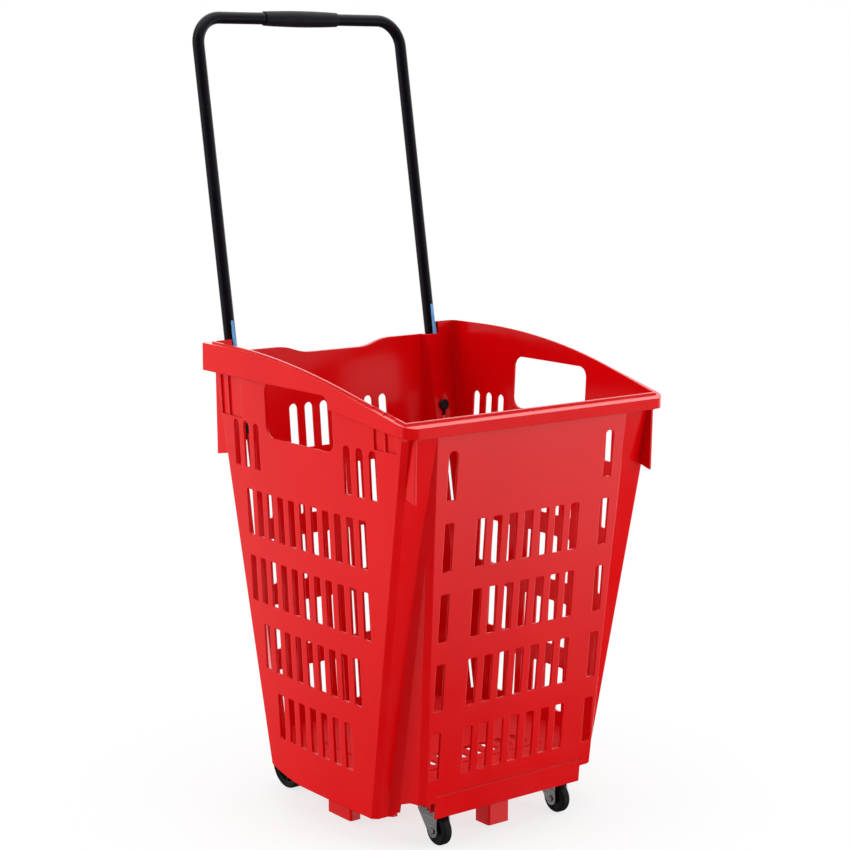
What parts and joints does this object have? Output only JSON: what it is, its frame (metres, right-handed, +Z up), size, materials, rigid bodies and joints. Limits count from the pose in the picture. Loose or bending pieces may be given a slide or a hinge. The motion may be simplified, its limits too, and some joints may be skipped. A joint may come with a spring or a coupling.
{
  "type": "rolling basket trolley",
  "caption": "Tapered slotted plastic basket on two swivel casters and two fixed rear wheels, with side handholds and a sliding tubular pull handle.",
  "frame": {"origin": "on the floor under the middle of the whole trolley's bounding box, with the pull handle fully drawn out", "axes": "+Z up, -Y towards the front panel, +Y towards the person pulling, +X to that side's right when the front panel is faced"},
  "size_m": [0.4236, 0.5243, 1.031],
  "materials": {
    "basket_plastic": "gloss",
    "bar_coating": "satin",
    "grip_rubber": "matte",
    "black_plastic": "satin",
    "strip_plastic": "satin",
    "hub_plastic": "satin",
    "tyre_rubber": "matte",
    "zinc_steel": "satin"
  },
  "bodies": {
    "basket": {"basket_body": "basket_plastic", "glide_strip_left": "strip_plastic", "glide_strip_right": "strip_plastic", "leg_guide_left": "black_plastic", "leg_guide_right": "black_plastic", "guide_screws": "zinc_steel", "rear_axle": "zinc_steel", "axle_bracket_left": "zinc_steel", "axle_bracket_right": "zinc_steel", "bracket_screws": "zinc_steel", "axle_cap_left": "black_plastic", "axle_cap_right": "black_plastic", "caster_plate_left": "zinc_steel", "caster_plate_right": "zinc_steel", "caster_screws": "zinc_steel", "kingpin_left": "zinc_steel", "kingpin_right": "zinc_steel"},
    "handle": {"pull_bar": "bar_coating", "handle_grip": "grip_rubber", "stop_knob_left": "black_plastic", "stop_knob_right": "black_plastic", "leg_plug_left": "black_plastic", "leg_plug_right": "black_plastic"},
    "fork_left": {"caster_fork_left": "zinc_steel", "caster_rivet_left": "zinc_steel"},
    "fork_right": {"caster_fork_right": "zinc_steel", "caster_rivet_right": "zinc_steel"},
    "caster_wheel_left": {"caster_hub_left": "hub_plastic", "caster_tyre_left": "tyre_rubber"},
    "caster_wheel_right": {"caster_hub_right": "hub_plastic", "caster_tyre_right": "tyre_rubber"},
    "rear_wheel_left": {"rear_hub_left": "hub_plastic", "rear_tyre_left": "tyre_rubber"},
    "rear_wheel_right": {"rear_hub_right": "hub_plastic", "rear_tyre_right": "tyre_rubber"}
  },
  "joints": [
    {"name": "handle_slide", "type": "slide", "parent": "basket", "child": "handle", "axis": [0, 0.1727, 0.985], "range_m": [-0.37, 0]},
    {"name": "fork_swivel_left", "type": "hinge", "parent": "basket", "child": "fork_left", "pos_m": [-0.097, -0.16565, 0.045], "axis": [0, 0, 1], "continuous": true},
    {"name": "fork_swivel_right", "type": "hinge", "parent": "basket", "child": "fork_right", "pos_m": [0.097, -0.16565, 0.045], "axis": [0, 0, 1], "continuous": true},
    {"name": "caster_spin_left", "type": "hinge", "parent": "fork_left", "child": "caster_wheel_left", "pos_m": [-0.097, -0.18265, 0.01975], "axis": [1, 0, 0], "continuous": true},
    {"name": "caster_spin_right", "type": "hinge", "parent": "fork_right", "child": "caster_wheel_right", "pos_m": [0.097, -0.18265, 0.01975], "axis": [1, 0, 0], "continuous": true},
    {"name": "rear_spin_left", "type": "hinge", "parent": "basket", "child": "rear_wheel_left", "pos_m": [-0.123, 0.10735, 0.032], "axis": [1, 0, 0], "continuous": true},
    {"name": "rear_spin_right", "type": "hinge", "parent": "basket", "child": "rear_wheel_right", "pos_m": [0.123, 0.10735, 0.032], "axis": [1, 0, 0], "continuous": true}
  ]
}
